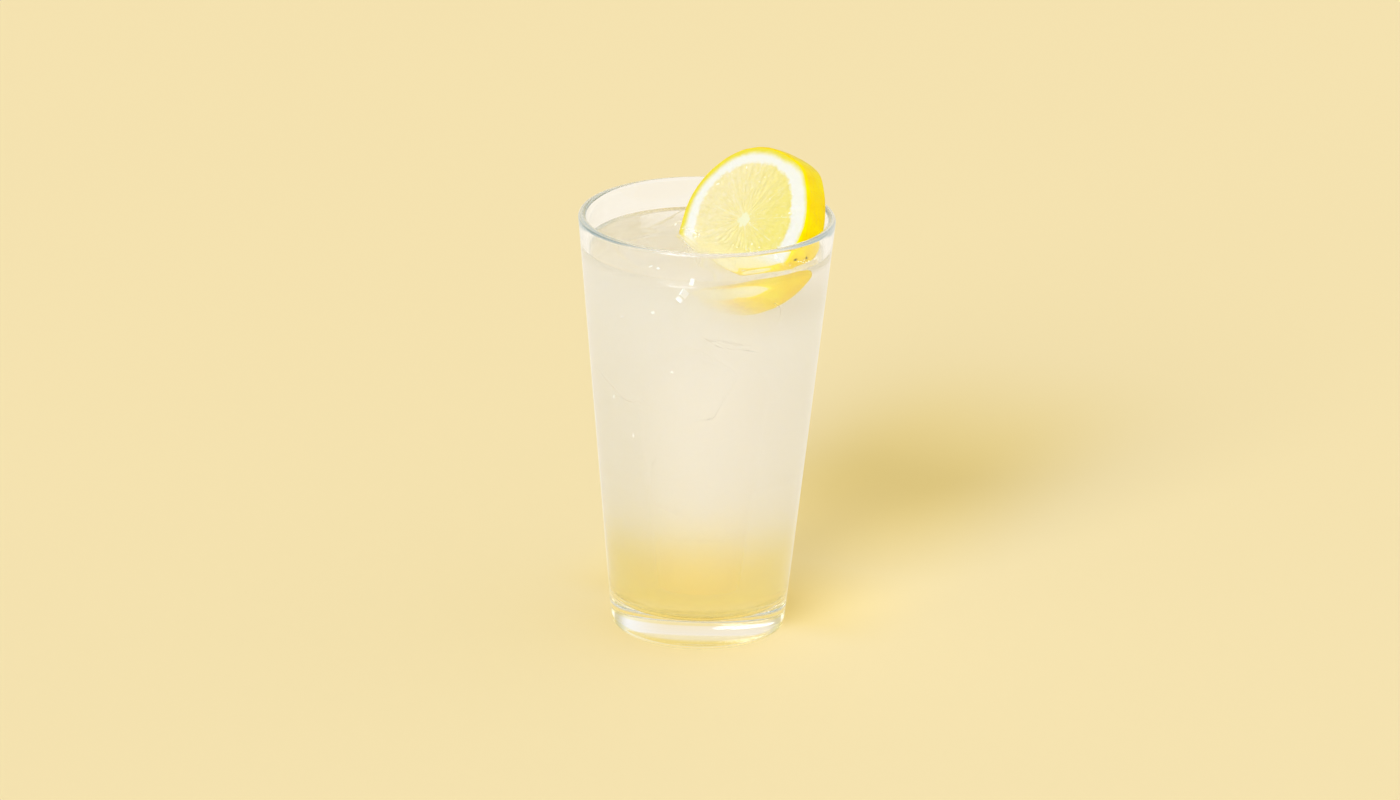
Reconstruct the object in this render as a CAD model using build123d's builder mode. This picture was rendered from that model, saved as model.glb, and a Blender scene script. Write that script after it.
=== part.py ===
from build123d import *

import os
from math import cos, radians, sin, sqrt

# A tapered drinking glass of lemonade with a thick round of lemon leaning on its rim.
# Millimetres, +Z up, origin on the table at the glass's axis. +X is to the right of the
# side that the slice's face looks out of, and -Y is that side.

# ---- Glass ----
glass_height = 149.0
rim_radius = 44.45  # outside of the wall at the rim
foot_radius = 30.2  # outside of the wall at the table
wall = 2.75  # measured level
base_thickness = 10.0  # table to inner floor
floor_corner_radius = 6.0  # inner floor into inner wall
foot_corner_radius = 2.4  # underside into outer wall
foot_ring_width = 7.0  # outer wall in to the edge of the hollow underside
punt_depth = 1.2  # rise of the hollow underside at its middle

# ---- Drink ----
fill_below_rim = 10.5  # rim down to the drink's surface
syrup_depth = 27.0  # inner floor up to the top of the settled lemon layer

# ---- Slice of lemon ----
slice_radius = 28.4  # the lemon's widest circle, past the slice's back
slice_thickness = 8.5  # face to back, at the middle
slice_bulge_depth = 11.6  # face back to the lemon's widest circle
lemon_half_length = 36.0  # half of the whole lemon, which gives the rind its curve
slice_skew = 1.5  # degrees between the two cuts
slice_heading = -133.3  # degrees about +Z from +X, the way the face looks
slice_lean = 34.8  # degrees back from upright
slice_sink = 2.6  # the face's middle, below the rim
slice_back = 3.8  # the face's middle, behind the glass's axis
slice_clearance = 0.3  # rind to rim where it leans

# ---- Worked out from the sizes above ----
rim_round = 0.48 * wall  # leaves a hair of flat between the rim's two rounds
punt_radius = foot_radius - foot_ring_width
punt_sphere_radius = (punt_radius**2 + punt_depth**2) / (2 * punt_depth)
drink_level = glass_height - fill_below_rim
syrup_level = base_thickness + syrup_depth
above_rim = glass_height + wall  # past the rim, for the cut that opens the glass


def outer_radius(height):
    """Outside radius of the glass's wall at a height above the table."""
    return foot_radius + (rim_radius - foot_radius) * height / glass_height


def inner_radius(height):
    """Inside radius of the glass's wall at a height above the table."""
    return outer_radius(height) - wall


def rind_radius(depth):
    """Radius of the rind at a depth behind the face: an ellipse about the widest circle."""
    share = (depth - slice_bulge_depth) / lemon_half_length
    return slice_radius * sqrt(1 - share**2)


def slice_face_plane():
    """Plane of the slice's face: x across it, y up it, z out of it.

    The slice leans until the edge between its rind and its back is slice_clearance short of
    the inner wall, at the height where the rim's round begins.
    """
    heading = radians(slice_heading)
    lean = radians(slice_lean)
    out = Vector(cos(heading) * cos(lean), sin(heading) * cos(lean), sin(lean))
    across = Vector(-sin(heading), cos(heading), 0)
    up = out.cross(across)
    back_depth = slice_thickness + slice_radius * sin(radians(slice_skew))
    back_middle = Vector(0, slice_back, glass_height - slice_sink) - out * back_depth
    touch_height = glass_height - rim_round
    touch_radius = inner_radius(touch_height) - slice_clearance
    climb = (touch_height - back_middle.Z) / up.Z
    reach = sqrt(rind_radius(back_depth) ** 2 - climb**2)
    touch = back_middle + up * climb + across * reach
    slide = sqrt(touch_radius**2 - touch.Y**2) - touch.X
    middle = Vector(slide, slice_back, glass_height - slice_sink)
    return Plane(origin=middle, x_dir=across, z_dir=out)


# ---- The glass's inside, which the glass loses and the drink fills ----
with BuildPart() as inside:
    with BuildSketch(Plane.XZ) as inside_section:
        with BuildLine() as inside_outline:
            Polyline(
                (0, base_thickness),
                (inner_radius(base_thickness), base_thickness),
                (inner_radius(above_rim), above_rim),
                (0, above_rim),
                close=True,
            )
        make_face()
    revolve(axis=Axis.Z)
    floor_edge = inside.edges().filter_by(GeomType.CIRCLE).sort_by(Axis.Z)[0]
    fillet(floor_edge, radius=floor_corner_radius)

# ---- Glass: one blown piece with a heavy base and a hollow underside ----
with BuildPart() as glass:
    with BuildSketch(Plane.XZ) as glass_section:
        with BuildLine() as glass_outline:
            Polyline(
                (0, 0),
                (foot_radius, 0),
                (rim_radius, glass_height),
                (0, glass_height),
                close=True,
            )
        make_face()
    revolve(axis=Axis.Z)
    foot_edge = glass.edges().filter_by(GeomType.CIRCLE).sort_by(Axis.Z)[0]
    fillet(foot_edge, radius=foot_corner_radius)
    add(inside.part, mode=Mode.SUBTRACT)
    rim_edges = glass.edges().filter_by(GeomType.CIRCLE).group_by(Axis.Z)[-1]
    fillet(rim_edges, radius=rim_round)
    with Locations((0, 0, punt_depth - punt_sphere_radius)):
        Sphere(punt_sphere_radius, mode=Mode.SUBTRACT)

# ---- Slice of lemon: a round cut beside the widest part of a lemon ----
slice_plane = slice_face_plane()
slice_axis = Axis(slice_plane.origin, slice_plane.z_dir)
section_plane = Plane(origin=slice_plane.origin, x_dir=slice_plane.y_dir, z_dir=slice_plane.x_dir)
back_cut = slice_plane.offset(-slice_thickness).rotated((0, slice_skew, 0))
uncut_depth = slice_thickness + 2 * slice_radius * sin(radians(slice_skew))

with BuildPart() as lemon_slice:
    with BuildSketch(section_plane) as slice_section:
        with BuildLine() as slice_outline:
            Polyline((rind_radius(0), 0), (0, 0), (0, -uncut_depth), (rind_radius(uncut_depth), -uncut_depth))
            ThreePointArc(
                (rind_radius(uncut_depth), -uncut_depth),
                (rind_radius(uncut_depth / 2), -uncut_depth / 2),
                (rind_radius(0), 0),
            )
        make_face()
    revolve(axis=slice_axis)
    split(bisect_by=back_cut, keep=Keep.TOP)

# ---- Drink: clear cloudy lemonade over a settled yellow layer, cut round the slice ----
with BuildPart() as lemonade:
    add(inside.part)
    split(bisect_by=Plane.XY.offset(drink_level), keep=Keep.BOTTOM)
    split(bisect_by=Plane.XY.offset(syrup_level), keep=Keep.TOP)
    add(lemon_slice.part, mode=Mode.SUBTRACT)

with BuildPart() as lemon_syrup:
    add(inside.part)
    split(bisect_by=Plane.XY.offset(syrup_level), keep=Keep.BOTTOM)
    add(lemon_slice.part, mode=Mode.SUBTRACT)

# ---- Files ----
glass.part.label = "glass"
lemon_slice.part.label = "lemon_slice"
lemonade.part.label = "lemonade"
lemon_syrup.part.label = "lemon_syrup"

os.makedirs("parts", exist_ok=True)
export_step(glass.part, "parts/glass.step")
export_step(lemon_slice.part, "parts/lemon_slice.step")
export_step(lemonade.part, "parts/lemonade.step")
export_step(lemon_syrup.part, "parts/lemon_syrup.step")
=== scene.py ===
"""Glass of cloudy iced lemonade with a round of lemon leaning on its rim.

Everything is in metres, +Z up, with the origin on the table at the glass's axis. Sizes that the
plain model fixes are measured from its nodes, and the rest are settings that a user can change.
"""

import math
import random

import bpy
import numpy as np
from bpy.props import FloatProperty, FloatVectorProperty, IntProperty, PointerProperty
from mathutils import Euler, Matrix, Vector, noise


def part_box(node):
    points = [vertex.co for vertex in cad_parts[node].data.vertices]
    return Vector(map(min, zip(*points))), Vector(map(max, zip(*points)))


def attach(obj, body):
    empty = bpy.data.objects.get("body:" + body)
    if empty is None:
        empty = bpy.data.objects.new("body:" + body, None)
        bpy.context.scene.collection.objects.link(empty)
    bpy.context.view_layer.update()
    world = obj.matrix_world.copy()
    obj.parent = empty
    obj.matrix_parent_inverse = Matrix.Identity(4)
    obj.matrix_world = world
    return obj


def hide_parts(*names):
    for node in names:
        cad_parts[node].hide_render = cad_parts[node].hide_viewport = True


bl_info = {
    "name": "Glass of Lemonade",
    "version": (1, 0, 0),
    "blender": (4, 5, 0),
    "location": "View3D > Sidebar > Lemonade",
    "description": "Makes a glass of cloudy iced lemonade with a round of lemon on its rim",
    "category": "Object",
}

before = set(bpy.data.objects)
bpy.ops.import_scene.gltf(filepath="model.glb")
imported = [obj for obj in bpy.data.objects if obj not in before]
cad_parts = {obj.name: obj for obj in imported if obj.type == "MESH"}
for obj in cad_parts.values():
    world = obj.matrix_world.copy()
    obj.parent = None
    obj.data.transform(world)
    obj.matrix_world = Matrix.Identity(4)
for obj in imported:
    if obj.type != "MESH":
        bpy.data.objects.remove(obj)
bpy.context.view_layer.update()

MM = 0.001
TURN = 2 * math.pi


# ---------------------------------------------------------------------------
# Measures taken from the plain model
# ---------------------------------------------------------------------------


def node_points(name):
    """Corner points of a node, one in each row."""
    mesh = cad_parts[name].data
    points = np.empty(len(mesh.vertices) * 3)
    mesh.vertices.foreach_get("co", points)
    return points.reshape(-1, 3)


def largest_flat(name, facing):
    """Middle, normal and triangles' area of a node's largest flat that looks along facing."""
    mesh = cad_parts[name].data
    mesh.calc_loop_triangles()
    flats = {}
    for triangle in mesh.loop_triangles:
        corners = [mesh.vertices[i].co for i in triangle.vertices]
        doubled = (corners[1] - corners[0]).cross(corners[2] - corners[0])
        area = doubled.length / 2
        if area < 1e-12:
            continue
        normal = doubled.normalized()
        if normal.dot(facing) <= 0:
            continue
        key = tuple(round(x, 2) for x in normal)
        total, middle, out = flats.get(key, (0.0, Vector(), Vector()))
        middle = middle + area * (corners[0] + corners[1] + corners[2]) / 3
        flats[key] = (total + area, middle, out + area * normal)
    total, middle, out = max(flats.values(), key=lambda flat: flat[0])
    return middle / total, out.normalized(), total


glass_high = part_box("glass")[1]
drink_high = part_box("lemonade")[1]
syrup_low, syrup_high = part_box("lemon_syrup")

GLASS_HEIGHT = glass_high.z
RIM_RADIUS = glass_high.x
DRINK_LEVEL = drink_high.z
SYRUP_TOP = syrup_high.z
INNER_FLOOR = syrup_low.z
WALL_SLOPE = (drink_high.x - syrup_high.x) / (DRINK_LEVEL - SYRUP_TOP)


def inner_radius(height):
    """Inside radius of the glass's wall at a height above the table."""
    return syrup_high.x + WALL_SLOPE * (height - SYRUP_TOP)


WALL = RIM_RADIUS - inner_radius(GLASS_HEIGHT)


def outer_radius(height):
    """Outside radius of the glass's wall at a height above the table."""
    return inner_radius(height) + WALL


# The slice's own frame: x across its face, y up its face, z out of it.
face_middle, face_out, face_area = largest_flat("lemon_slice", Vector((0, -1, 0)))
back_middle, back_out = largest_flat("lemon_slice", Vector((0, 1, 0)))[:2]
face_across = Vector((0, 0, 1)).cross(face_out).normalized()
face_up = face_out.cross(face_across)
SLICE_FRAME = Matrix.Translation(face_middle) @ Matrix((face_across, face_up, face_out)).transposed().to_4x4()
SLICE_FROM_WORLD = SLICE_FRAME.inverted()
slice_points = node_points("lemon_slice") - np.array(face_middle)
slice_points = slice_points @ np.array((face_across, face_up, face_out)).T
slice_reach = np.hypot(slice_points[:, 0], slice_points[:, 1])
SLICE_RADIUS = float(slice_reach.max())
FACE_RADIUS = math.sqrt(face_area / math.pi)
SLICE_THICKNESS = -(SLICE_FROM_WORLD @ back_middle).z
on_rind = slice_reach > 0.9 * SLICE_RADIUS
RIND_CURVE = np.polyfit(-slice_points[on_rind, 2], slice_reach[on_rind], 2)


def rind_radius(depth):
    """Radius of the slice's rind at a depth behind its face."""
    return float(np.polyval(RIND_CURVE, depth))


# ---------------------------------------------------------------------------
# Settings
# ---------------------------------------------------------------------------


def length(name, description, default):
    """A length setting, in metres."""
    return FloatProperty(name=name, description=description, default=default, unit="LENGTH", precision=5)


def colour(name, description, default):
    """A colour setting in linear light."""
    return FloatVectorProperty(
        name=name, description=description, default=default, subtype="COLOR", size=3, min=0, max=1
    )


class LemonadeGlassSettings(bpy.types.PropertyGroup):
    """Sizes and finish of the glass"""

    rim_round: length("Rim round", "Radius of the rim's two rounds", 1.32 * MM)
    floor_corner: length("Floor corner", "Radius between the inner floor and wall", 6.0 * MM)
    foot_corner: length("Foot corner", "Radius between the underside and the wall", 2.4 * MM)
    foot_ring: length("Foot ring", "Width of the ring that the glass stands on", 7.0 * MM)
    punt: length("Punt", "Rise of the hollow underside at its middle", 1.2 * MM)
    tint: colour("Tint", "Colour of light that has passed through the wall", (0.975, 0.985, 0.98))
    # Painted light: the foot's yellow stands in for the drink's light refracted into the base.
    foot_painted_yellow: colour("Foot tint", "Yellow that the drink throws into the foot", (0.99, 0.90, 0.50))
    segments: IntProperty(name="Segments", description="Facets round the glass", default=256, min=48)


class LemonadeDrinkSettings(bpy.types.PropertyGroup):
    """Sizes and colours of the lemonade and its settled layer"""

    cloudy: colour("Cloudy", "Colour of the cloudy lemonade", (0.86, 0.80, 0.68))
    settled: colour("Settled", "Colour of the settled lemon layer", (0.90, 0.74, 0.22))
    meniscus: length("Meniscus", "How far the drink climbs the glass", 0.2 * MM)
    reach: length("Reach", "How far the drink goes into the wall, so that no air shows", 0.1 * MM)
    cloud_depth: length("Cloud depth", "From the wall to the thick middle of the cloud", 19.0 * MM)
    cloud_inset: length("Cloud inset", "From the wall to the cloud", 0.8 * MM)
    cloud_below: length("Cloud below", "From the drink's surface down to the cloud, at the middle", 1.5 * MM)
    cloud_droop: length("Cloud droop", "How much lower the cloud starts at the wall", 3.0 * MM)
    cloud_lean: length("Cloud lean", "How much lower the cloud starts under the slice", 13.0 * MM)
    cloud_step: length("Cloud step", "How much lower each layer of the cloud starts", 4.0 * MM)
    cloud_layers: IntProperty(
        name="Cloud layers", description="Layers that thicken downwards", default=3, min=1
    )
    haze_density: FloatProperty(
        name="Haze density", description="Thin scattering all through", default=11.0, min=0
    )
    cloud_density: FloatProperty(
        name="Cloud density", description="Scattering in the cloud", default=75.0, min=0
    )
    settled_density: FloatProperty(
        name="Settled density", description="Stain of the settled layer", default=36.0, min=0
    )


class LemonadeIceSettings(bpy.types.PropertyGroup):
    """Size and finish of the ice"""

    size: length("Size", "Side of a typical ice cube", 25.0 * MM)
    seed: IntProperty(name="Seed", description="Seed of the cubes' uneven shapes", default=7)


class LemonadeGrainSettings(bpy.types.PropertyGroup):
    """Sizes and crowding of the bubbles and chips of ice"""

    bubble_size: length("Bubble size", "Radius of a typical bubble", 0.24 * MM)
    bubble_crowd: FloatProperty(
        name="Bubble crowd", description="Bubbles on a square metre", default=1.6e6, min=0
    )
    by_slice: length("By the slice", "How far the bubbles reach from the slice", 1.6 * MM)
    by_wall: length("By the wall", "How far the bubbles reach from the wall", 0.8 * MM)
    chip_size: length("Chip size", "Radius of a typical chip of ice", 1.25 * MM)
    seed: IntProperty(name="Seed", description="Seed of the places and turns", default=11)


class LemonadeSliceSettings(bpy.types.PropertyGroup):
    """Sizes and colours of the round of lemon"""

    rind: length("Rind", "Depth of the yellow rind", 2.9 * MM)
    pith: length("Pith", "Width of the white pith", 2.9 * MM)
    segment_count: IntProperty(
        name="Segments", description="Juice segments in the slice", default=9, min=6, max=14
    )
    seed: IntProperty(name="Seed", description="Seed of the slice's uneven shape", default=4)
    rind_colour: colour("Rind colour", "Colour of the rind's outside", (0.95, 0.735, 0.0))
    rind_face_colour: colour("Cut rind colour", "Colour of the rind where it is cut", (0.76, 0.66, 0.05))
    rind_line_colour: colour("Rind line colour", "Greener yellow at the rind's cut edge", (0.66, 0.62, 0.08))
    scar_colour: colour("Scar colour", "Brown of the rind's two small scars", (0.16, 0.10, 0.01))
    pith_colour: colour("Pith colour", "Colour of the pith", (0.80, 0.793, 0.70))
    core_colour: colour("Core colour", "Colour of the core", (0.80, 0.79, 0.52))
    soaked_colour: colour("Soaked colour", "Colour of the cut face under the drink", (0.87, 0.775, 0.38))
    flesh_colour: colour("Flesh colour", "Colour of the flesh", (0.795, 0.706, 0.38))
    flesh_far_colour: colour(
        "Far flesh colour", "Colour of the flesh on its yellower side", (0.778, 0.69, 0.195)
    )


class LemonadeStageSettings(bpy.types.PropertyGroup):
    """Floor, lights and camera"""

    floor_colour: colour("Floor colour", "Colour of the floor and backdrop", (0.913, 0.761, 0.423))
    camera_distance: length("Camera distance", "From the camera to the glass's middle", 2.5)
    camera_height: FloatProperty(
        name="Camera height",
        description="Angle above the horizon",
        subtype="ANGLE",
        default=math.radians(19.581),
    )
    camera_lens: FloatProperty(name="Lens", description="Focal length in millimetres", default=185.5)


# ---------------------------------------------------------------------------
# Mesh and node helpers
# ---------------------------------------------------------------------------


def make_object(name, points, faces, material):
    """A smooth mesh object at the origin."""
    mesh = bpy.data.meshes.new(name)
    mesh.from_pydata([tuple(p) for p in points], [], faces)
    mesh.update()
    mesh.shade_smooth()
    made = bpy.data.objects.new(name, mesh)
    bpy.context.scene.collection.objects.link(made)
    if material is not None:
        mesh.materials.append(material)
    return made


def ring_faces(rings, segments, first=0):
    """Quads between rings of points. A ring list that runs up an outside gives faces that look outwards."""
    faces = []
    for ring in range(rings - 1):
        low = first + ring * segments
        high = low + segments
        for j in range(segments):
            k = (j + 1) % segments
            faces.append((low + j, low + k, high + k, high + j))
    return faces


def closed_rings(rings, bottom, top):
    """Points and faces of a closed shape: rings of points, each shaped (segments, 3), between two poles."""
    count, segments = len(rings), len(rings[0])
    points = np.concatenate([np.asarray(rings).reshape(-1, 3), [bottom, top]])
    faces = ring_faces(count, segments)
    low_pole = count * segments
    last = (count - 1) * segments
    for j in range(segments):
        k = (j + 1) % segments
        faces.append((low_pole, k, j))
        faces.append((last + j, last + k, low_pole + 1))
    return points, faces


def turned(profile, segments):
    """Points and faces of a closed shape turned about Z. The profile starts and ends on the axis."""
    angles = np.arange(segments) * TURN / segments
    rings = []
    for radius, height in profile[1:-1]:
        ring = np.stack([radius * np.cos(angles), radius * np.sin(angles), np.full(segments, height)], axis=1)
        rings.append(ring)
    return closed_rings(rings, (0, 0, profile[0][1]), (0, 0, profile[-1][1]))


def arc(middle, radius, start, end, steps):
    """Points along an arc in (radius, height), from one angle in degrees to another."""
    points = []
    for step in range(steps + 1):
        angle = math.radians(start + (end - start) * step / steps)
        points.append((middle[0] + radius * math.cos(angle), middle[1] + radius * math.sin(angle)))
    return points


def straight(start, end, steps):
    """Points between two points, without the two themselves."""
    return [
        (start[0] + (end[0] - start[0]) * step / steps, start[1] + (end[1] - start[1]) * step / steps)
        for step in range(1, steps)
    ]


def smoothstep(low, high, value):
    """0 below low, 1 above high, smooth between."""
    share = np.clip((value - low) / (high - low), 0.0, 1.0)
    return share * share * (3 - 2 * share)


def set_attribute(made, name, values):
    """A number at each point of a mesh, for its material to read."""
    layer = made.data.attributes.new(name, "FLOAT", "POINT")
    layer.data.foreach_set("value", np.asarray(values, dtype=np.float32))


def new_material(name):
    """An empty node material and its output node."""
    material = bpy.data.materials.new(name)
    material.use_nodes = True
    tree = material.node_tree
    tree.nodes.clear()
    return material, tree, tree.nodes.new("ShaderNodeOutputMaterial")


def add_node(tree, kind, inputs=None, **settings):
    """A node with its settings, and its inputs linked to sockets or set to values."""
    made = tree.nodes.new(kind)
    for key, value in settings.items():
        setattr(made, key, value)
    for key, value in (inputs or {}).items():
        socket = made.inputs[key]
        if isinstance(value, bpy.types.NodeSocket):
            tree.links.new(value, socket)
        elif socket.type == "RGBA":
            socket.default_value = tuple(value)[:3] + (1.0,)
        else:
            socket.default_value = value
    return made


def ramp(tree, factor, stops, interpolation="LINEAR"):
    """A colour ramp through (place, colour) stops. Returns its colour."""
    made = add_node(tree, "ShaderNodeValToRGB", {"Fac": factor})
    band = made.color_ramp
    band.interpolation = interpolation
    while len(band.elements) < len(stops):
        band.elements.new(0.5)
    for element, (place, shade) in zip(band.elements, stops):
        element.position = place
        element.color = tuple(shade) + (1.0,)
    return made.outputs["Color"]


def remap(tree, value, low, high, to_low=0.0, to_high=1.0, smooth=True):
    """The value carried from one range to another, held at its ends."""
    kind = "SMOOTHSTEP" if smooth else "LINEAR"
    inputs = {"Value": value, "From Min": low, "From Max": high, "To Min": to_low, "To Max": to_high}
    return add_node(tree, "ShaderNodeMapRange", inputs, interpolation_type=kind).outputs["Result"]


def blend(tree, factor, first, second, mode="MIX"):
    """Two colours mixed."""
    made = add_node(tree, "ShaderNodeMix", data_type="RGBA", blend_type=mode)
    for socket, value in ((made.inputs[0], factor), (made.inputs[6], first), (made.inputs[7], second)):
        if isinstance(value, bpy.types.NodeSocket):
            tree.links.new(value, socket)
        elif socket.type == "RGBA":
            socket.default_value = tuple(value)[:3] + (1.0,)
        else:
            socket.default_value = value
    return made.outputs[2]


def maths(tree, operation, first, second=0.0):
    """One sum."""
    return add_node(tree, "ShaderNodeMath", {0: first, 1: second}, operation=operation).outputs[0]


def vector_maths(tree, operation, first, second=(0.0, 0.0, 0.0)):
    """One sum on vectors."""
    return add_node(tree, "ShaderNodeVectorMath", {0: first, 1: second}, operation=operation).outputs[0]


def shaded(colour_of, *factors):
    """A colour with each channel multiplied, and held at 1."""
    return tuple(min(1.0, c * f) for c, f in zip(colour_of, factors))


def attribute(tree, name):
    """A point attribute's number."""
    return add_node(tree, "ShaderNodeAttribute", attribute_name=name).outputs["Fac"]


def noise_fac(tree, place, scale, detail=3.0, roughness=0.5, distortion=0.0):
    """Noise between 0 and 1."""
    inputs = {
        "Vector": place, "Scale": scale, "Detail": detail, "Roughness": roughness, "Distortion": distortion
    }
    return add_node(tree, "ShaderNodeTexNoise", inputs).outputs["Fac"]


def object_place(tree):
    """The point's place in the object's own frame."""
    return add_node(tree, "ShaderNodeTexCoord").outputs["Object"]


# Painted shade and highlight tones for the light that leaves the glass after many reflections in its wall.
CAUGHT_DARK = (0.22, 0.33, 0.39)
CAUGHT_TINT = (0.44, 0.57, 0.63)
CAUGHT_LIGHT = (0.96, 0.98, 1.0)


def lets_light_through(tree, shader, tint):
    """The shader for what is seen, and plain tinted clearness for the rays that only carry light.

    Light caught in the wall for long leaves it straight, with painted streaks of shade and highlight, so that
    the rim isn't black.
    """
    path = add_node(tree, "ShaderNodeLightPath").outputs
    seen = maths(tree, "MAXIMUM", path["Is Camera Ray"], path["Is Glossy Ray"])
    seen = maths(tree, "MAXIMUM", seen, path["Is Transmission Ray"])
    carried = maths(tree, "MAXIMUM", path["Is Shadow Ray"], path["Is Diffuse Ray"])
    seen = maths(tree, "SUBTRACT", seen, carried)
    caught = maths(tree, "GREATER_THAN", path["Glossy Depth"], 4.5)
    leaving = maths(tree, "MULTIPLY", caught, maths(tree, "LESS_THAN", path["Transparent Depth"], 0.5))
    sides = add_node(tree, "ShaderNodeSeparateXYZ", {0: object_place(tree)}).outputs["X"]
    sides = remap(tree, maths(tree, "ABSOLUTE", sides), 14 * MM, 38 * MM, 0.15, 1.0)
    leaving = maths(tree, "MULTIPLY", leaving, maths(tree, "MULTIPLY", seen, sides))
    seen = maths(tree, "SUBTRACT", seen, caught)
    # The caught light leaves in thin painted bands of shade and highlight along the rim and foot.
    stretched = vector_maths(tree, "MULTIPLY", object_place(tree), (22.0, 22.0, 800.0))
    bands = noise_fac(tree, stretched, 1.0, detail=2.0)
    streaked = ramp(tree, bands, ((0.40, CAUGHT_DARK), (0.50, CAUGHT_TINT), (0.60, CAUGHT_LIGHT)))
    clear = add_node(tree, "ShaderNodeBsdfTransparent", {"Color": blend(tree, leaving, tint, streaked)})
    mixed = add_node(tree, "ShaderNodeMixShader", {0: seen, 1: clear.outputs[0], 2: shader})
    return mixed.outputs[0]


# ---------------------------------------------------------------------------
# Glass
# ---------------------------------------------------------------------------


def glass_material(tint, foot_painted_yellow):
    """Clear glass with the faint waviness of a pressed wall, whose foot has a painted yellow that stands in
    for the drink's light refracted into it.
    """
    material, tree, output = new_material("clear_glass")
    place = object_place(tree)
    waves = noise_fac(tree, place, 38.0, detail=2.0)
    bump = add_node(tree, "ShaderNodeBump", {"Height": waves, "Strength": 0.35, "Distance": 0.00012})
    # Painted light: the foot's lowest millimetres are coloured with the drink's yellow, in place of the light
    # that the drink sends into them.
    foot = remap(tree, height_node(tree), 3.1 * MM, 3.9 * MM, 1.0, 0.0)
    glass = add_node(
        tree,
        "ShaderNodeBsdfPrincipled",
        {
            "Base Color": blend(tree, foot, (1.0, 1.0, 1.0), foot_painted_yellow),
            "Roughness": 0.0,
            "IOR": 1.5,
            "Transmission Weight": 1.0,
            "Normal": bump.outputs[0],
        },
    )
    tree.links.new(lets_light_through(tree, glass.outputs[0], tint), output.inputs["Surface"])
    return material


def glass_profile(settings):
    """The glass's section from the middle of its underside, up its outside and down its inside."""
    foot = outer_radius(0)
    ring_inside = foot - settings.foot_ring
    punt_radius = (ring_inside**2 + settings.punt**2) / (2 * settings.punt)
    lean = math.degrees(math.atan(WALL_SLOPE))
    points = [(0, settings.punt)]
    for step in range(1, 12):
        radius = ring_inside * step / 12
        points.append((radius, settings.punt - punt_radius + math.sqrt(punt_radius**2 - radius**2)))
    # The foot's corner touches the underside and the leaning wall.
    corner = settings.foot_corner
    back = corner * math.tan(math.radians(90 - lean) / 2)
    middle = (foot - corner * (1 / math.cos(math.radians(lean)) - math.tan(math.radians(lean))), corner)
    points.append((ring_inside, 0))
    points += straight((ring_inside, 0), (middle[0], 0), 5)
    points += arc(middle, corner, -90, -lean, 12)
    rim = settings.rim_round
    rim_height = GLASS_HEIGHT - rim
    outer_middle = (outer_radius(rim_height) - rim, rim_height)
    inner_middle = (inner_radius(rim_height) + rim, rim_height)
    top_of_wall = (
        outer_middle[0] + rim * math.cos(math.radians(lean)),
        rim_height - rim * math.sin(math.radians(lean)),
    )
    points += straight(points[-1], top_of_wall, 40)
    points += arc(outer_middle, rim, -lean, 90, 10)
    points += arc(inner_middle, rim, 90, 180 - lean, 10)
    # The inner floor's corner touches the floor and the leaning wall.
    round_in = settings.floor_corner
    low = INNER_FLOOR + round_in
    inner_corner = (inner_radius(low) - round_in / math.cos(math.radians(lean)), low)
    wall_end = (
        inner_corner[0] + round_in * math.cos(math.radians(lean)),
        low - round_in * math.sin(math.radians(lean)),
    )
    points += straight(points[-1], wall_end, 40)
    points += arc(inner_corner, round_in, -lean, -90, 16)
    points += straight(points[-1], (0, INNER_FLOOR), 8)
    points.append((0, INNER_FLOOR))
    return points


class LEMONADE_OT_glass(bpy.types.Operator):
    """Make the tapered glass with its heavy base and hollow underside"""

    bl_idname = "lemonade.glass"
    bl_label = "Glass"

    def execute(self, context):
        settings = context.scene.lemonade_glass
        points, faces = turned(glass_profile(settings), settings.segments)
        glass = make_object("glass_body", points, faces, glass_material(settings.tint, settings.foot_painted_yellow))
        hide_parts("glass")
        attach(glass, "root")
        return {"FINISHED"}


# ---------------------------------------------------------------------------
# Ice: places and shapes, which the drink's surface follows too
# ---------------------------------------------------------------------------

# Middle in millimetres, turn about X, Y and Z in degrees, and size beside a typical cube.
ICE_PLACES = (
    ((-16.0, -6.0, 127.5), (8, -6, 24), 1.00),
    ((-3.0, 20.0, 127.0), (-7, 5, 62), 0.96),
    ((10.0, -19.0, 120.0), (8, 14, 30), 0.80),
    ((-24.0, 17.0, 116.0), (20, 30, 10), 0.80),
    ((-17.0, -11.0, 101.0), (25, 12, 35), 0.90),
    ((-4.0, -24.0, 97.0), (-20, 35, 15), 0.82),
    ((-19.0, -10.0, 76.0), (35, -20, 50), 0.96),
    ((-2.0, -19.0, 62.0), (30, 15, -30), 0.92),
)


def ice_frame(place, turn):
    """Where an ice cube stands, as a matrix in metres."""
    turned_by = Euler([math.radians(angle) for angle in turn]).to_matrix().to_4x4()
    return Matrix.Translation(Vector(place) * MM) @ turned_by


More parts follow.
